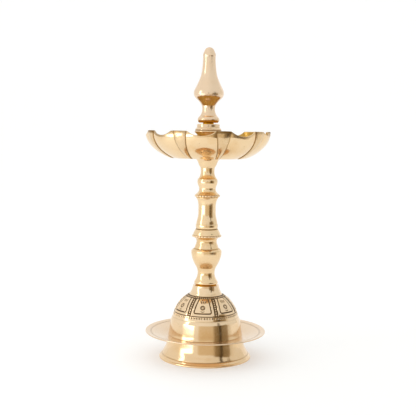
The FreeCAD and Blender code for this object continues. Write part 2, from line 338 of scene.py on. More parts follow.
def node_tools(tree):
    """Short ways to add and join nodes in a tree."""

    def add(kind, **settings):
        node = tree.nodes.new(kind)
        for key, value in settings.items():
            if key in node.bl_rna.properties:
                setattr(node, key, value)
            else:
                node.inputs[key.replace("_", " ")].default_value = value
        return node

    def join(source, target):
        tree.links.new(source, target)

    def maths(operation, a, b=None):
        node = add("ShaderNodeMath", operation=operation)
        for socket, value in zip(node.inputs, (a, b)):
            if value is None:
                continue
            if isinstance(value, (int, float)):
                socket.default_value = value
            else:
                join(value, socket)
        return node.outputs[0]

    def noise(vector, scale, detail=3.0, rough=0.55):
        node = add("ShaderNodeTexNoise", Scale=scale, Detail=detail, Roughness=rough)
        join(vector, node.inputs["Vector"])
        return node.outputs["Fac"]

    def ramp(value, low, high, to_low=0.0, to_high=1.0):
        node = add("ShaderNodeMapRange", interpolation_type="SMOOTHSTEP")
        join(value, node.inputs["Value"])
        for name, number in (("From Min", low), ("From Max", high), ("To Min", to_low), ("To Max", to_high)):
            node.inputs[name].default_value = number
        return node.outputs["Result"]

    def blend(amount, a, b):
        node = add("ShaderNodeMix", data_type="RGBA")
        join(amount, node.inputs[0])
        for socket, value in ((node.inputs[6], a), (node.inputs[7], b)):
            if isinstance(value, tuple):
                socket.default_value = (*value, 1)
            else:
                join(value, socket)
        return node.outputs[2]

    return add, join, maths, noise, ramp, blend


BRASS = (0.87, 0.65, 0.395)
SOFT_BRASS = (0.86, 0.655, 0.43)
# A darker, browner brass for the inside of the dish
DARK_INSIDE_BRASS = (0.46, 0.33, 0.135)
WARM_BRASS = (0.79, 0.515, 0.24)
# Painted shade: the deep amber that crowded nooks are painted with
NOOK_SHADE_AMBER = (0.62, 0.30, 0.006)
DARK_GRIME = (0.085, 0.045, 0.013)
# Warm amber-brown for groove residue, which also serves as painted shade in the corners of turned and cast
# pieces
WARM_GRIME_SHADE = (0.24, 0.125, 0.030)


def brass(name, shine=0.065, lathe=1.0, tarnish=0.35, pits=0.25, grime_shade_level=1.0, grime_shade_colour=WARM_GRIME_SHADE, base=BRASS,
          nook_shade=1.0):
    """Polished brass. shine is its roughness, lathe how plainly turning lines show, soot the colour of the
    residue and painted shade in its grooves, nooks how much painted amber shade fills crowded nooks, and the
    rest are shares."""
    material = bpy.data.materials.new(name)
    material.use_nodes = True
    tree = material.node_tree
    tree.nodes.clear()
    add, join, maths, noise, ramp, blend = node_tools(tree)
    shader = add("ShaderNodeBsdfPrincipled", Metallic=1.0)
    join(shader.outputs[0], add("ShaderNodeOutputMaterial").inputs["Surface"])

    place = add("ShaderNodeTexCoord").outputs["Object"]
    split = add("ShaderNodeSeparateXYZ")
    join(place, split.inputs[0])
    x, y, z = split.outputs
    radius = maths("SQRT", maths("ADD", maths("MULTIPLY", x, x), maths("MULTIPLY", y, y)))
    ring = add("ShaderNodeCombineXYZ")
    join(radius, ring.inputs[0])
    join(maths("MULTIPLY", maths("ARCTAN2", y, x), 0.0004), ring.inputs[1])
    join(z, ring.inputs[2])
    rings = ring.outputs[0]

    # Tarnish in soft patches, and small dark pits left by the casting
    cloud = noise(place, 55.0, 4.0, 0.6)
    patches = maths("MULTIPLY", ramp(cloud, 0.48, 0.72), tarnish)
    cells = add("ShaderNodeTexVoronoi", Scale=330.0)
    join(place, cells.inputs["Vector"])
    dots = ramp(cells.outputs["Distance"], 0.16, 0.06)
    chosen = ramp(noise(place, 130.0, 1.0), 0.60, 0.68)
    specks = maths("MULTIPLY", maths("MULTIPLY", dots, chosen), pits)

    # Residue and painted shade that the mesh marks in its grooves and corners
    mark = add("ShaderNodeAttribute", attribute_name="grime_shade").outputs["Fac"]
    edge = maths("ADD", mark, maths("MULTIPLY", maths("SUBTRACT", noise(place, 900.0), 0.5), 0.35))
    grime_shade_marks = maths("MULTIPLY", maths("MULTIPLY", ramp(edge, 0.12, 0.75), mark), grime_shade_level)
    grime_shade_marks = maths("MINIMUM", maths("ADD", grime_shade_marks, specks), 0.96)

    # Painted shade: where neighbours crowd a surface, the colour turns deep amber for the warm light they
    # throw on it
    nook_occlusion = add("ShaderNodeAmbientOcclusion", samples=6, Distance=0.050)
    deep = maths("MULTIPLY", ramp(nook_occlusion.outputs["AO"], 0.88, 0.60), nook_shade)

    colour = blend(deep, blend(patches, base, WARM_BRASS), NOOK_SHADE_AMBER)
    join(blend(grime_shade_marks, colour, grime_shade_colour), shader.inputs["Base Color"])

    # Roughness: buffed base, cloudier where touched, rough in the residue and painted shade
    smear = ramp(noise(place, 140.0, 5.0, 0.7), 0.35, 0.8, 0.0, 0.06)
    lines = noise(rings, 2600.0, 2.0, 0.5)
    rough = maths("ADD", maths("ADD", smear, shine), maths("MULTIPLY", lines, 0.03 * lathe))
    rough = maths("ADD", rough, maths("MULTIPLY", patches, 0.08))
    rough = maths("ADD", rough, maths("MULTIPLY", grime_shade_marks, 0.35))
    join(rough, shader.inputs["Roughness"])

    # Relief: uneven buffing, turning lines, fine scratches
    relief = maths("MULTIPLY", noise(place, 190.0, 2.0), 1.0)
    relief = maths("ADD", relief, maths("MULTIPLY", lines, 0.22 * lathe))
    relief = maths("ADD", relief, maths("MULTIPLY", noise(rings, 700.0, 2.0), 0.35 * lathe))
    relief = maths("SUBTRACT", relief, maths("MULTIPLY", specks, 2.0))
    bump = add("ShaderNodeBump", Strength=1.0, Distance=0.000010)
    join(relief, bump.inputs["Height"])
    join(bump.outputs[0], shader.inputs["Normal"])
    return material


turned_brass = brass("turned_brass", shine=0.10, base=SOFT_BRASS, nook_shade=0.2)
buffed_brass = brass("buffed_brass", shine=0.12, lathe=1.6)
neck_brass = brass("neck_brass", shine=0.12, lathe=1.6, nook_shade=0.15)
pale_brass = brass("pale_brass", shine=0.11, base=(0.80, 0.62, 0.44), tarnish=0.2, nook_shade=0.3)
finial_brass = brass("finial_brass", shine=0.16, lathe=1.6, base=(0.85, 0.65, 0.455), tarnish=0.15)
hub_brass = brass("hub_brass", shine=0.12, lathe=1.6, base=(0.84, 0.64, 0.43), nook_shade=0.15)
engraved_brass = brass("engraved_brass", shine=0.08, grime_shade_level=1.1, grime_shade_colour=DARK_GRIME, base=SOFT_BRASS, nook_shade=0.5)
cast_brass = brass("cast_brass", shine=0.09, lathe=0.0, tarnish=0.5, pits=0.7)
dish_inside_brass = brass("dish_inside_brass", shine=0.24, lathe=0.6, tarnish=0.8, pits=0.5, base=DARK_INSIDE_BRASS)
stud_brass = brass("stud_brass", shine=0.30, lathe=0.4, tarnish=0.8, pits=0.3, grime_shade_level=1.2)
washer_brass = brass("washer_brass", shine=0.34, lathe=0.8, tarnish=1.0, pits=0.3)


# ---------------------------------------------------------------- turned pieces

def bore(radius, low, high):
    """The steps of a blind hole's outline, from its mouth at high down to the axis."""
    return [line_to(radius, high), line_to(radius, low), line_to(0, low)]


foot_outline = outline(
    (45.4, 0.0),
    arc_to((45.5, 0.8), (44.7, 1.9)),
    line_to(42.85, 4.3),
    curve_to((42.15, 5.5), (41.2, 7.2), (40.15, 9.1), (38.85, 12.6), (38.0, 16.4)),
    line_to(37.0, PLATE_UNDER),
    line_to(34.0, PLATE_UNDER),
    line_to(35.1, 16.2),
    curve_to((35.9, 12.8), (37.1, 9.2), (38.7, 6.2), (40.2, 3.4)),
    line_to(42.0, 0.0),
)
foot_lines = [(42.85, 4.3, 0.6, 0.16)]
turned("foot", "foot_ring", turned_brass, foot_outline, True, 224, 1.0, lines=foot_lines)

plate_outline = outline(
    (30.0, PLATE_UNDER),
    line_to(38.4, PLATE_UNDER),
    line_to(59.1, PLATE_UNDER + BRIM_RISE),
    arc_to((59.5, PLATE_UNDER + BRIM_RISE + 0.7), (59.1, PLATE_TOP + BRIM_RISE)),
    line_to(38.2, PLATE_TOP),
    line_to(30.0, PLATE_TOP),
)
plate_lines = [(53.6, PLATE_TOP + 2.8, 0.7, 0.18), (54.9, PLATE_TOP + 3.04, 0.4, 0.07)]
turned("plate", "drip_plate", pale_brass, plate_outline, True, 256, 2.0, lines=plate_lines)

lower_outline = outline(
    (0, STEM_FOOT + STUD_ROOT),
    line_to(STEM_STUD_R + HOLE_GAP, STEM_FOOT + STUD_ROOT),
    line_to(STEM_STUD_R + HOLE_GAP, STEM_FOOT),
    line_to(10.4, STEM_FOOT),
    curve_to((11.3, 73.5), (11.75, 74.7), (11.3, 76.2)),
    line_to(9.9, 78.3),
    curve_to((8.8, 81.6), (8.5, 85.8), (9.4, 89.4)),
    curve_to((11.1, 92.3), (13.5, 97.4), (14.9, 103.4), (15.0, 106.4)),
    line_to(13.4, 108.2),
    line_to(12.2, 108.5),
    curve_to((11.2, 111.4), (10.0, 115.4), (10.7, 118.3), (12.6, 119.9)),
    line_to(13.0, 120.1),
    line_to(13.0, LOWER_FLANGE),
    *bore(STEM_STUD_R + HOLE_GAP, LOWER_FLANGE - 8, LOWER_FLANGE),
)
turned("stem_vase", "stem_lower", buffed_brass, lower_outline, segments=176, seed=3.0)

column_outline = outline(
    (0, LOWER_FLANGE - 8),
    line_to(5.0, LOWER_FLANGE - 8),
    line_to(5.0, LOWER_FLANGE),
    line_to(13.9, LOWER_FLANGE),
    line_to(13.3, 123.2),
    arc_to((12.9, 124.6), (12.0, 126.2)),
    line_to(11.3, 127.6),
    line_to(10.5, 127.9),
    line_to(10.5, 128.3),
    arc_to((10.95, 130.3), (10.85, 132.4)),
    line_to(10.4, 132.9),
    curve_to((9.9, 136.2), (9.0, 139.8), (8.6, 146.0)),
    line_to(8.6, 151.0),
    curve_to((9.2, 155.0), (10.2, 157.6), (11.2, 159.0)),
    line_to(11.0, 159.7),
    line_to(11.0, UPPER_FLANGE),
    line_to(5.0, UPPER_FLANGE),
    line_to(5.0, UPPER_FLANGE + 8),
    line_to(0, UPPER_FLANGE + 8),
)
turned("stem_column_bar", "stem_column", buffed_brass, column_outline, segments=160, seed=4.0)


def threaded(radius, low, high, pitch, depth, into=0.0):
    """A carver that winds a right-hand thread round the part of a piece near that radius."""

    def cut(radii, heights, angles, grime_shade_marks):
        turn = (heights / pitch - angles / TAU) % 1.0
        ridge = np.abs(2 * turn - 1)
        valley = depth * smooth_step(1 - ridge, 0.5, 1.0)
        here = (np.abs(radii - radius) < 0.12) & (heights > low) & (heights < high)
        fade = np.clip((heights - low) / pitch, 0, 1) * np.clip((high - heights) / 0.6, 0, 1)
        change = np.where(here, fade * valley, 0.0)
        # Residue and painted shade along the thread's valleys
        marks = np.where(here, 0.15 + 0.75 * fade * valley / depth, grime_shade_marks)
        return radii + (change if into else -change), marks

    return cut


upper_outline = outline(
    (0, UPPER_FLANGE + 8),
    line_to(STEM_STUD_R + HOLE_GAP, UPPER_FLANGE + 8),
    line_to(STEM_STUD_R + HOLE_GAP, UPPER_FLANGE),
    line_to(12.0, UPPER_FLANGE),
    line_to(11.2, 162.5),
    curve_to((9.3, 164.1), (8.15, 167.8), (9.2, 171.3), (9.9, 173.8), (9.8, 176.2)),
    line_to(9.4, 177.4),
    line_to(8.5, 178.2),
    curve_to((7.3, 180.8), (6.75, 185.5), (7.0, 188.2)),
    line_to(7.7, 189.2),
    line_to(8.3, 190.2),
    curve_to((9.3, 192.7), (10.5, 195.2), (12.2, STEM_TOP)),
    *bore(TOP_STUD_R + HOLE_GAP, 186.0, STEM_TOP),
)
hole_thread = threaded(TOP_STUD_R + HOLE_GAP, 186.0, STEM_TOP - 0.4, TOP_PITCH, 0.6, into=1)
turned("stem_neck", "stem_upper", neck_brass, upper_outline, False, 144, 5.0, cut=hole_thread)

hub_outline = outline(
    (0, DISH_UNDER + STUD_ROOT),
    line_to(TOP_STUD_R + HOLE_GAP, DISH_UNDER + STUD_ROOT),
    line_to(TOP_STUD_R + HOLE_GAP, DISH_FLOOR),
    line_to(15.0, DISH_FLOOR),
    arc_to((15.5, 200.8), (14.5, 201.8)),
    line_to(11.6, 202.5),
    curve_to((9.6, 205.6), (8.5, 212.0), (9.4, 218.2), (12.0, 221.8)),
    line_to(13.2, 222.6),
    arc_to((13.45, 223.4), (13.0, 224.2)),
    line_to(12.6, 224.5),
    line_to(12.8, 225.2),
    curve_to((12.4, 226.2), (11.7, 226.9), (11.2, 227.7)),
    line_to(11.2, HUB_TOP - 0.4),
    line_to(10.8, HUB_TOP),
    *bore(TOP_STUD_R + HOLE_GAP, 220.4, HUB_TOP),
)
hole_thread = threaded(TOP_STUD_R + HOLE_GAP, 220.4, HUB_TOP - 0.4, TOP_PITCH, 0.6, into=1)
turned("hub", "dish_hub", hub_brass, hub_outline, False, 144, 6.0, cut=hole_thread)

finial_outline = outline(
    (0, FINIAL_FOOT + STUD_ROOT),
    line_to(TOP_STUD_R + HOLE_GAP, FINIAL_FOOT + STUD_ROOT),
    line_to(TOP_STUD_R + HOLE_GAP, FINIAL_FOOT),
    line_to(9.0, FINIAL_FOOT),
    arc_to((10.5, 234.4), (9.2, 237.8)),
    line_to(8.3, 238.6),
    curve_to((7.0, 241.2), (6.2, 244.9), (6.6, 248.6)),
    curve_to((8.6, 251.6), (11.5, 254.6), (13.6, 256.7), (14.6, 259.2)),
    curve_to((14.65, 261.6), (13.8, 264.2), (12.0, 267.7), (9.6, 272.9)),
    curve_to((7.7, 278.4), (6.75, 284.4), (6.25, 290.5), (6.15, 295.6)),
    line_to(6.4, 296.4),
    curve_to((6.25, 297.8), (5.5, 299.9), (3.4, 303.6), (0, FINIAL_TIP)),
)
turned("finial_spire", "finial", finial_brass, finial_outline, segments=176, seed=7.0)


def stud(name, node, radius, seat, length, pitch):
    """A stud with a rolled thread below its seat and a plain root above."""
    tip = seat - length
    points = outline(
        (0, tip),
        line_to(radius - 0.6, tip),
        line_to(radius, tip + 0.6),
        line_to(radius, seat + STUD_ROOT),
        line_to(0, seat + STUD_ROOT),
    )
    thread = threaded(radius, tip + 0.2, seat + 1.0, pitch, 0.52 * pitch)
    return turned(name, node, stud_brass, points, segments=96, seed=0.0, cut=thread)


stud("stem_thread", "stem_stud", STEM_STUD_R, STEM_FOOT, 12.0, STEM_PITCH)
stud("dish_thread", "dish_stud", TOP_STUD_R, DISH_UNDER, 10.0, TOP_PITCH)
stud("finial_thread", "finial_stud", TOP_STUD_R, FINIAL_FOOT, 10.0, TOP_PITCH)


def washer(name, node, outer, stud_radius, low, high):
    """A flat washer round a stud."""
    inner = stud_radius + HOLE_GAP
    points = outline((inner, low), line_to(outer, low), line_to(outer, high), line_to(inner, high))
    return turned(name, node, washer_brass, points, True, 128, outer)


washer("washer_stem", "stem_washer", 10.2, STEM_STUD_R, BELL_TOP, STEM_FOOT)
washer("washer_dish", "dish_washer", 11.4, TOP_STUD_R, STEM_TOP, DISH_UNDER)
washer("washer_finial", "finial_washer", 5.3, TOP_STUD_R, HUB_TOP, FINIAL_FOOT)


def bead_ring(name, node, outer, low, seed):
    """A string of round beads standing on a narrow band."""
    height, seat = 1.9, outer - 1.55
    count = round(TAU * outer / 3.4)
    segments = count * 14
    around = np.linspace(0, TAU, 28, endpoint=False)[:, None]
    angles = np.linspace(0, TAU, segments, endpoint=False)[None, :] + np.zeros((28, 1))
    share = (angles * count / TAU + 0.5) % 1.0 - 0.5
    jitter = np.random.default_rng(seed).normal(0, 1, count)
    index = np.round(angles * count / TAU).astype(int) % count
    size = np.sqrt(np.clip(1 - (1.88 * share) ** 2, 0.12, 1)) * (1 - 0.03 * np.abs(jitter[index]))
    middle, half = outer - 0.9, 0.9
    reach = np.where(np.cos(around) > 0, half * size, middle - seat)
    radii = middle + reach * np.cos(around)
    squeeze = np.where(np.cos(around) > 0, 0.35 + 0.65 * size, 0.62)
    heights = low + height / 2 + height / 2 * squeeze * np.sin(around)
    # Residue and painted shade in the gaps between beads, on their outer side
    gaps = smooth_step(1 - size, 0.45, 0.5) * np.clip(np.cos(around) + 0.4, 0, 1)
    return fit(swept(name, radii, heights, angles, gaps), node, turned_brass)


bead_ring("beads_lower", "lower_bead_ring", 14.6, LOWER_FLANGE - 1.9, 11)
bead_ring("beads_upper", "upper_bead_ring", 12.6, UPPER_FLANGE - 1.9, 12)


# ---------------------------------------------------------------- bell

def nearest(points, r, z):
    """Which of the points lies nearest to (r, z)."""
    return int(np.argmin(np.hypot(points[:, 0] - r, points[:, 1] - z)))


def ring_body(name, node, material, points, segments, seed):
    """A closed ring whose outline is taken as it is, without rounding."""
    angles = np.linspace(0, TAU, segments, endpoint=False)[None, :] + np.zeros((len(points), 1))
    heights = np.repeat(points[:, 1:], segments, axis=1)
    radii = np.repeat(points[:, :1], segments, axis=1)
    radii = radii + np.clip(radii / 6, 0, 1) * hand_wobble(angles, heights, seed)
    # Residue and painted shade in the outline's hollow corners
    grime_shade_marks = np.repeat(corner_grime_shade(points, True)[:, None], segments, axis=1)
    return fit(swept(name, radii, heights, angles, grime_shade_marks), node, material)


def window(value, low, high, soft=0.35):
    """1 between low and high, 0 outside, with soft ends."""
    return smooth_step(value, low, soft) * (1 - smooth_step(value, high, soft))


def engraving(radius, z, along, angle):
    """How deep the hand engraving goes, in millimetres, over the bell's shoulder."""
    pitch = TAU / PANELS
    from_column = (angle - FIRST_COLUMN + pitch / 2) % pitch - pitch / 2
    from_middle = (angle - FIRST_COLUMN) % pitch - pitch / 2
    panel = np.floor((angle - FIRST_COLUMN) / pitch) % PANELS
    side = np.abs(from_column) * radius
    across = from_middle * radius + 0.25 * np.sin(2.1 * panel + 0.4)

    def level(height):
        return along[np.argmin(np.abs(z[:, 0] - height)), 0]

    # Columns of beads in a sunk strip
    strip = groove(side, 2.0, 0.35) * window(z, 46.7, 61.8)
    step = 2.3
    row = (along - level(47.6)) / step + 0.5
    off = (row % 1.0 - 0.5) * step
    bead = np.sqrt(np.clip(1 - (side**2 + off**2) / 0.95**2, 0, 1))
    depth = 0.42 * strip - 0.42 * bead * strip

    # A line round each panel, with rounded lower corners
    corner = 1.7
    inside_side, inside_low = side - 4.7, along - level(49.0)
    reach = np.hypot(np.maximum(corner - inside_side, 0), np.maximum(corner - inside_low, 0))
    inside = np.where(
        (inside_side < corner) & (inside_low < corner),
        corner - reach,
        np.minimum(inside_side, inside_low),
    )
    depth = depth + 0.46 * groove(inside, 0.52, 0.32) * (z < 61.6) * (z > 47.5)

    # Lines and dashes round the bell under the panels
    depth = depth + 0.34 * groove(along - level(46.2), 0.32, 0.3)
    dash = (angle * 77 / TAU) % 1.0 - 0.5
    dash_side = np.abs(dash) * TAU / 77 * radius
    depth = depth + 0.42 * groove(dash_side, 0.46, 0.35) * window(z, 43.8, 45.3)

    # A rosette, an arc under it and three petals over it in each panel
    rise = along - level(54.3)
    out = np.hypot(across, rise)
    depth = depth + 0.42 * groove(out - 2.0, 0.40, 0.3) * (side > 4.9)
    depth = depth + 0.20 * (1 - smooth_step(out, 1.3, 0.4)) - 0.22 * (1 - smooth_step(out, 0.7, 0.4))
    arc = along - level(50.5) - 0.30 * across**2
    depth = depth + 0.40 * groove(arc, 0.34, 0.3) * groove(across, 1.8, 0.4)
    up = along - level(58.9)
    for lean in (-1, 0, 1):
        petal = np.hypot((across - lean * (1.9 + 0.22 * up)) / 0.50, up / 1.7)
        depth = depth + 0.38 * (1 - smooth_step(petal, 1.0, 0.45))

    # A sunk ring of beads at the foot of the cone
    count = 56
    place = ((angle * count / TAU) % 1.0 - 0.5) * TAU / count * radius
    ring = window(z, 61.5, 63.25)
    pearl = np.sqrt(np.clip(1 - (place / 0.85) ** 2 - ((along - level(62.35)) / 1.05) ** 2, 0, 1))
    depth = np.maximum(depth, 0.5 * ring) - 0.5 * pearl * ring
    hand = 0.92 + 0.10 * np.sin(3 * angle + 0.7 * z) + 0.06 * np.sin(11 * angle - 1.3 * z)
    return np.clip(depth, -0.06, 0.60) * hand


bell_outline = outline(
    (36.9, PLATE_TOP),
    curve_to((36.2, 25.4), (35.75, 28.2), (35.3, 31.4), (34.85, 34.6), (34.4, 37.6)),
    line_to(34.3, 38.1),
    line_to(32.9, 40.9),
    curve_to((32.45, 42.2), (30.6, 47.8), (26.8, 54.4), (22.4, 59.3), (17.6, 62.8)),
    line_to(16.6, 63.3),
    line_to(15.9, 64.0),
    arc_to((13.9, 67.8), (12.8, BELL_TOP)),
    line_to(STEM_STUD_R + HOLE_GAP, BELL_TOP),
    line_to(STEM_STUD_R + HOLE_GAP, 56.5),
    line_to(10.0, 56.5),
    line_to(11.0, 60.0),
    line_to(16.0, 60.0),
    curve_to((20.6, 57.1), (24.8, 52.8), (28.1, 46.8), (30.1, 40.6), (31.9, 34.8)),
    line_to(33.4, PLATE_TOP),
)
bell_lines = [(32.75, 41.3, 0.7, 0.16), (16.3, 63.6, 0.9, 0.15)]
bell = polished(bell_outline, True, lines=bell_lines, longest=0.5)
skirt_top = nearest(bell, 32.25, 42.8)
cone_foot = nearest(bell, 15.7, 64.5)
ceiling = nearest(bell, 15.6, 60.0)
inner_skirt = nearest(bell, 29.7, 42.8)

skirt = np.concatenate([bell[: skirt_top + 1], bell[inner_skirt:]])
ring_body("bell_skirt", "bell_dome", turned_brass, skirt, 256, 8.0)
cone = bell[cone_foot : ceiling + 1]
ring_body("bell_cone", "bell_dome", turned_brass, cone, 160, 8.0)

BAND_COLUMNS = PANELS * 90
shoulder = even_steps(bell[skirt_top : cone_foot + 1], 0.215)
inner_band = bell[ceiling : inner_skirt + 1][::3]
upper_end, lower_end = bell[ceiling : ceiling + 1], bell[inner_skirt : inner_skirt + 1]
inner_band = np.concatenate([upper_end, inner_band[1:-1], lower_end])
band = np.concatenate([shoulder, inner_band])
along_band = np.concatenate([[0], np.cumsum(np.linalg.norm(np.diff(shoulder, axis=0), axis=1))])
band_angles = np.linspace(0, TAU, BAND_COLUMNS, endpoint=False)[None, :] + np.zeros((len(band), 1))
band_heights = np.repeat(band[:, 1:], BAND_COLUMNS, axis=1)
band_radii = np.repeat(band[:, :1], BAND_COLUMNS, axis=1)
band_radii = band_radii + hand_wobble(band_angles, band_heights, 8.0)
rows = len(shoulder)
cuts = np.zeros(band_radii.shape)
cuts[:rows] = engraving(
    band_radii[:rows],
    band_heights[:rows],
    np.repeat(along_band[:, None], BAND_COLUMNS, axis=1),
    band_angles[:rows],
)
cuts[:3] = cuts[rows - 3 : rows] = 0
slope = np.zeros((len(band), 2))
slope[:rows] = np.gradient(shoulder, axis=0)
slope /= np.maximum(np.linalg.norm(slope, axis=1), 1e-9)[:, None]
band_radii = band_radii - cuts * slope[:, 1:]
band_heights = band_heights + cuts * slope[:, :1]
band_dirt = 0.96 * smooth_step(cuts, 0.12, 0.14)
engraved_band = swept("bell_engraved_band", band_radii, band_heights, band_angles, band_dirt)
fit(engraved_band, "bell_dome", engraved_brass)


# ---------------------------------------------------------------- dish

FLUTE_COLUMNS = 14
LOBE_COLUMNS = 32
DISH_FLOOR_ROWS = 9
DISH_WALL_ROWS = 62
RIM_STEPS = 4
RIM_ROUND = 0.6
# Rows of the dish's sheet on its outside: floor, wall, and over the rim to its inner edge
DISH_OUTER_ROWS = DISH_FLOOR_ROWS + DISH_WALL_ROWS + 2 * RIM_STEPS - 1


def dish_radius(z):
    """The dish's outer radius at height z, without its lobes."""
    drop = np.clip((DISH_RIM - z) / (DISH_RIM - DISH_UNDER), 0, 1)
    return DISH_FLOOR_R + (DISH_RIM_R - DISH_FLOOR_R) * (1 - drop**2.2) ** 0.85


def half_flute(z):
    """Half the angle that a flute takes at height z."""
    share = np.clip((z - DISH_UNDER) / (DISH_RIM - DISH_UNDER), 0, 1)
    return np.radians(5.0 + 8.5 * share**0.8) / 2


def lobe_columns():
    """For each column round the dish: the middle of its lobe or flute, where across that it is, and which."""
    middles, across, flutes = [], [], []
    pitch = TAU / LOBES
    for index in range(LOBES):
        for is_flute, count in ((1, FLUTE_COLUMNS), (0, LOBE_COLUMNS)):
            for k in range(count):
                across.append(math.sin(math.pi / 2 * (2 * k / count - 1)))
                middles.append(FIRST_FLUTE + pitch * (index + (0 if is_flute else 0.5)))
                flutes.append(is_flute)
    return np.array(middles), np.array(across), np.array(flutes)


middles, across, flutes = lobe_columns()
lobe_random = np.random.default_rng(21)
rest_depths = REST_DEPTH * (1 - 0.16 * lobe_random.random(LOBES))
lobe_swell = 0.25 * (lobe_random.random(LOBES) - 0.5)
lobe_index = np.floor(((middles - FIRST_FLUTE) % TAU) / (TAU / LOBES) + 0.01).astype(int) % LOBES


def column_angles(z):
    """Where each column stands at height z."""
    half = half_flute(z)
    width = np.where(flutes == 1, half, math.pi / LOBES - half)
    return middles + across * width


def column_bulge(z):
    """How far each column stands out from the plain dish at height z."""
    share = np.clip((z - DISH_UNDER) / (DISH_RIM - DISH_UNDER), 0, 1)
    round_flute = (FLUTE_BULGE + 1.1 * (1 - share) ** 2) * (1 - across**2)
    round_lobe = (LOBE_BULGE + lobe_swell[lobe_index] * share) * (1 - np.abs(across) ** 2.2)
    return np.where(flutes == 1, round_flute + 0.04, round_lobe - 0.35)


def rest_rim():
    """The rim's height at each column, dipped in the middle of each lobe to hold a wick."""
    swing = 20.7
    angle = column_angles(np.full(len(middles), DISH_RIM))
    centre = FIRST_FLUTE + TAU / LOBES * (lobe_index + 0.5)
    side = DISH_RIM_R * np.sin(angle - centre)
    dip = np.sqrt(np.maximum(swing**2 - side**2, 0)) - (swing - 5.0)
    soft = 0.5 * (dip + np.sqrt(dip**2 + 0.5)) * rest_depths[lobe_index] / 5.0
    return DISH_RIM - np.where(flutes == 1, np.minimum(soft, 0.25), soft)


def dish_mesh():
    """The dish as one closed sheet: out along the floor, up the wall, over the rim and down inside."""
    rim = rest_rim()
    grids = []

    def add(radius, z, angle):
        size = len(middles)
        grids.append((np.broadcast_to(radius, size), np.broadcast_to(z, size), angle))

    low_angles = column_angles(np.full(len(middles), DISH_UNDER))
    low_edge = dish_radius(np.full(len(middles), DISH_UNDER + 0.02)) + column_bulge(DISH_UNDER)
    for share in np.linspace(0, 1, DISH_FLOOR_ROWS + 1)[:-1]:
        add(TOP_STUD_R + HOLE_GAP + share * (low_edge - 4.05), DISH_UNDER, low_angles)
    for t in np.linspace(0, 1, DISH_WALL_ROWS) ** 1.7:
        z = DISH_UNDER + 0.02 + t * (rim - 0.62 - DISH_UNDER)
        add(dish_radius(z) + column_bulge(z), z, column_angles(z))
    for turn in np.linspace(0, math.pi / 2, RIM_STEPS + 1)[1:]:
        z = rim - RIM_ROUND + RIM_ROUND * math.sin(turn)
        add(dish_radius(z) + column_bulge(z) - RIM_ROUND * (1 - math.cos(turn)), z, column_angles(z))
    for turn in np.linspace(math.pi / 2, 0, RIM_STEPS + 1):
        z = rim - RIM_ROUND + RIM_ROUND * math.sin(turn)
        inner = dish_radius(z) + column_bulge(z) - DISH_WALL
        add(inner + RIM_ROUND * (1 - math.cos(turn)), z, column_angles(z))
    step = 0.02
    for t in np.linspace(1, 0, 52)[1:] ** 1.5:
        z = DISH_UNDER + 0.06 + t * (rim - 0.62 - DISH_UNDER)
        rate = (dish_radius(z + step) - dish_radius(z - step)) / (2 * step)
        square = np.hypot(1, rate)
        radius = dish_radius(z) + column_bulge(z) - DISH_WALL / square
        add(radius, np.minimum(z + DISH_WALL * rate / square, rim - 0.6), column_angles(z))
    last_radius, last_z, last_angle = grids[-1]
    for share in np.linspace(1, 0, 14)[1:]:
        level = DISH_FLOOR + (last_z - DISH_FLOOR) * share**6
        add(TOP_STUD_R + HOLE_GAP + share * (last_radius - 4.05), level, last_angle)
    radii, heights, angles = (np.array([g[k] for g in grids]) for k in range(3))
    radii = radii + np.clip(radii / 30, 0, 1) * 2.2 * hand_wobble(angles, heights, 9.0)
    radii = radii + 0.05 * np.clip(radii / 60, 0, 1) * np.sin(17 * angles + heights / 1.9)
    # Painted shade: dark lines along the creases, heavier low on the dish
    painted_crease_shade = np.exp(-(((1 - np.abs(across)) * np.where(flutes == 1, 5.0, 12.0) / 0.60) ** 2))
    wall = smooth_step(radii, 34.0, 6.0)
    lower = 0.35 + 0.65 * (1 - np.clip((heights - DISH_UNDER) / 24, 0, 1))
    # Darker in the corner round the dish's floor and in a ring round the hub's seat
    corner = np.exp(-(((radii - 35.0) / 3.0) ** 2)) * (heights > DISH_UNDER + 0.5)
    hollow = np.exp(-(((radii - 15.5) / 1.3) ** 2)) * (heights > DISH_FLOOR - 0.5)
    outside = (np.arange(len(radii)) < DISH_OUTER_ROWS)[:, None]
    # A darker band round the outer rim: soot of the wicks, and a painted dark reflection in place of the key
    # light's
    lip_soot_and_dark_reflection = smooth_step(heights, rim - 2.2, 1.8) * outside * (0.42 + 0.26 * np.sin(5 * angles + 1.2))
    # Painted shade: the flutes' outsides darker than the lobes
    painted_flute_shade = 0.38 * wall * outside * (flutes == 1)
    grime_shade_marks = 0.80 * painted_crease_shade[None, :] * wall * lower + 0.30 * corner + 0.7 * hollow + lip_soot_and_dark_reflection + painted_flute_shade
    grime_shade_marks = np.clip(grime_shade_marks, 0, 1)
    dish = fit(swept("dish_shell", radii, heights, angles, grime_shade_marks), "dish", cast_brass)
    dish.data.materials.append(dish_inside_brass)
    columns = len(middles)
    inner = [0] * (DISH_OUTER_ROWS * columns) + [1] * ((len(grids) - 1 - DISH_OUTER_ROWS) * columns)
    inner += [0] * columns
    dish.data.polygons.foreach_set("material_index", inner)
    return dish


dish_mesh()


# ---------------------------------------------------------------- studio

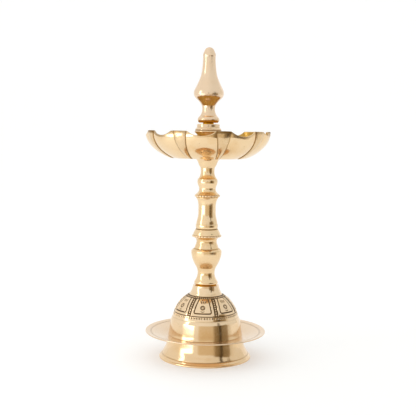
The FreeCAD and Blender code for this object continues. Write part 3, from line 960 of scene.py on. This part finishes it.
def plain(name, colour, rough=0.6, glow=0.0):
    """A plain matt stage finish."""
    material = bpy.data.materials.new(name)
    material.use_nodes = True
    tree = material.node_tree
    tree.nodes.clear()
    add, join, maths, noise, ramp, blend = node_tools(tree)
    shader = add("ShaderNodeBsdfPrincipled", Roughness=rough)
    join(shader.outputs[0], add("ShaderNodeOutputMaterial").inputs["Surface"])
    place = add("ShaderNodeTexCoord").outputs["Object"]
    paper = noise(place, 260.0, 4.0)
    shade = tuple(0.985 * c for c in colour)
    join(blend(ramp(paper, 0.3, 0.7), colour, shade), shader.inputs["Base Color"])
    shader.inputs["Emission Color"].default_value = (1.0, 1.0, 1.0, 1)
    shader.inputs["Emission Strength"].default_value = glow
    return material


def sweep():
    """A seamless paper floor that curves up into the backdrop."""
    half, front, back, bend, top = 1.7, -2.4, 1.6, 0.7, 2.2
    line = [(front + (back - bend - front) * t, 0.0) for t in np.linspace(0, 1, 12)]
    for turn in np.linspace(0, math.pi / 2, 17)[1:]:
        line.append((back - bend + bend * math.sin(turn), bend - bend * math.cos(turn)))
    line.append((back, top))
    across_floor = np.linspace(-half, half, 9)
    vertices = [(x, y, z) for y, z in line for x in across_floor]
    width = len(across_floor)
    faces = []
    for i in range(len(line) - 1):
        for j in range(width - 1):
            a = i * width + j
            faces.append((a, a + 1, a + width + 1, a + width))
    mesh = bpy.data.meshes.new("paper_sweep")
    mesh.from_pydata(vertices, [], faces)
    mesh.polygons.foreach_set("use_smooth", [True] * len(mesh.polygons))
    floor = bpy.data.objects.new("paper_sweep", mesh)
    bpy.context.scene.collection.objects.link(floor)
    mesh.materials.append(plain("white_paper", (0.70, 0.70, 0.695), 0.8, 0.34))


sweep()


def room_light():
    """The white tent round the lamp, a little dimmer on the right."""
    world = bpy.data.worlds.new("room")
    bpy.context.scene.world = world
    world.use_nodes = True
    tree = world.node_tree
    tree.nodes.clear()
    add, join, maths, noise, ramp, blend = node_tools(tree)
    split = add("ShaderNodeSeparateXYZ")
    join(add("ShaderNodeTexCoord").outputs["Generated"], split.inputs[0])
    x, y, z = split.outputs
    right = ramp(x, -0.4, 0.6)
    background = add("ShaderNodeBackground", Strength=1.0)
    join(blend(right, (0.98, 0.98, 0.97), (0.86, 0.87, 0.86)), background.inputs["Color"])
    join(background.outputs[0], add("ShaderNodeOutputWorld").inputs["Surface"])


room_light()


def tent_wall():
    """What stands low round the front of the tent and shows only in the brass: a warm room and a dark gap."""
    stops = [
        (-22, (0.95, 0.93, 0.88), 0.10),
        (-17, (0.78, 0.68, 0.52), 0.17),
        (22, (0.72, 0.62, 0.46), 0.17),
        (27, (0.52, 0.44, 0.31), 0.20),
        (29, (0.34, 0.26, 0.15), 0.24),
        (43, (0.20, 0.15, 0.08), 0.25),
        (45, (0.070, 0.050, 0.026), 0.36),
        (50, (0.070, 0.050, 0.026), 0.36),
        (53, (0.26, 0.20, 0.12), 0.25),
        (73, (0.34, 0.27, 0.17), 0.25),
        (76, (0.74, 0.70, 0.62), 0.22),
        (88, (0.86, 0.85, 0.83), 0.20),
    ]
    degrees = np.arange(-22, 88.5, 0.5)
    where = [s[0] for s in stops]
    colours = np.stack([np.interp(degrees, where, [s[1][k] for s in stops]) for k in range(3)], 1)
    tops = np.interp(degrees, where, [s[2] for s in stops])
    turn = np.radians(degrees)
    x, y = TENT_R * np.sin(turn), -TENT_R * np.cos(turn)
    low = np.stack([x, y, np.full(len(turn), 0.002)], 1)
    high = np.stack([x, y, tops], 1)
    count = len(turn)
    faces = [(k, k + 1, count + k + 1, count + k) for k in range(count - 1)]
    mesh = bpy.data.meshes.new("tent_wall")
    mesh.from_pydata(np.concatenate([low, high]).tolist(), [], faces)
    layer = mesh.attributes.new("tone", "FLOAT_COLOR", "POINT")
    tones = np.concatenate([colours, np.ones((count, 1))], 1)
    layer.data.foreach_set("color", np.concatenate([tones, tones]).astype(np.float32).ravel())
    material = bpy.data.materials.new("tent_wall")
    material.use_nodes = True
    tree = material.node_tree
    tree.nodes.clear()
    add, join, *_ = node_tools(tree)
    glow = add("ShaderNodeEmission", Strength=1.0)
    join(add("ShaderNodeAttribute", attribute_name="tone").outputs["Color"], glow.inputs["Color"])
    join(glow.outputs[0], add("ShaderNodeOutputMaterial").inputs["Surface"])
    mesh.materials.append(material)
    wall = bpy.data.objects.new("tent_wall", mesh)
    bpy.context.scene.collection.objects.link(wall)
    wall.visible_camera = wall.visible_diffuse = wall.visible_shadow = False


TENT_R = 0.42
tent_wall()


def camera_body(place, size):
    """The dark camera behind its lens. It shows only as a dot in the brass."""
    bpy.ops.mesh.primitive_cube_add(size=1.0, location=place)
    body = bpy.context.object
    body.name = "camera_body"
    body.scale = size
    body.data.materials.append(plain("camera_body", (0.02, 0.02, 0.02), 0.6))
    body.visible_camera = body.visible_diffuse = body.visible_shadow = False


CAMERA_AT = (0.0009, -0.8145, 0.2231)
camera_body((0.0, -0.90, CAMERA_AT[2]), (0.11, 0.06, 0.09))


def softbox(name, place, aim, width, height, power, colour):
    """A large soft area light."""
    data = bpy.data.lights.new(name, "AREA")
    data.shape = "RECTANGLE"
    data.size, data.size_y = width, height
    data.energy = power
    data.color = colour
    light = bpy.data.objects.new(name, data)
    bpy.context.scene.collection.objects.link(light)
    light.location = place
    direction = Vector(aim) - Vector(place)
    light.rotation_euler = direction.to_track_quat("-Z", "Y").to_euler()
    return light


def softbox_beside(name, turn, away, low, high, width, power):
    """A softbox that stands upright at an angle round the lamp from the front, from low to high."""
    turn = math.radians(turn)
    place = (away * math.sin(turn), -away * math.cos(turn), (low + high) / 2)
    return softbox(name, place, (0.0, 0.0, place[2]), width, high - low, power, (1.0, 0.985, 0.95))


softbox_beside("key_softbox", -54.0, 0.46, 0.045, 0.135, 0.31, 0.24)
softbox_beside("stem_softbox", -68.0, 0.45, 0.135, 0.275, 0.09, 0.11)
softbox_beside("strip_softbox", -66.0, 0.44, 0.275, 0.480, 0.06, 0.12)

camera_data = bpy.data.cameras.new("camera")
camera_data.lens = 71.9
camera_data.sensor_width = 36.0
camera = bpy.data.objects.new("camera", camera_data)
bpy.context.scene.collection.objects.link(camera)
camera.location = CAMERA_AT
pitch_down, roll = math.radians(5.23), math.radians(0.89)
aim = Matrix.Rotation(math.pi / 2 - pitch_down, 4, "X") @ Matrix.Rotation(roll, 4, "Z")
camera.rotation_euler = aim.to_euler()
bpy.context.scene.camera = camera
bpy.context.scene.view_settings.view_transform = "Standard"
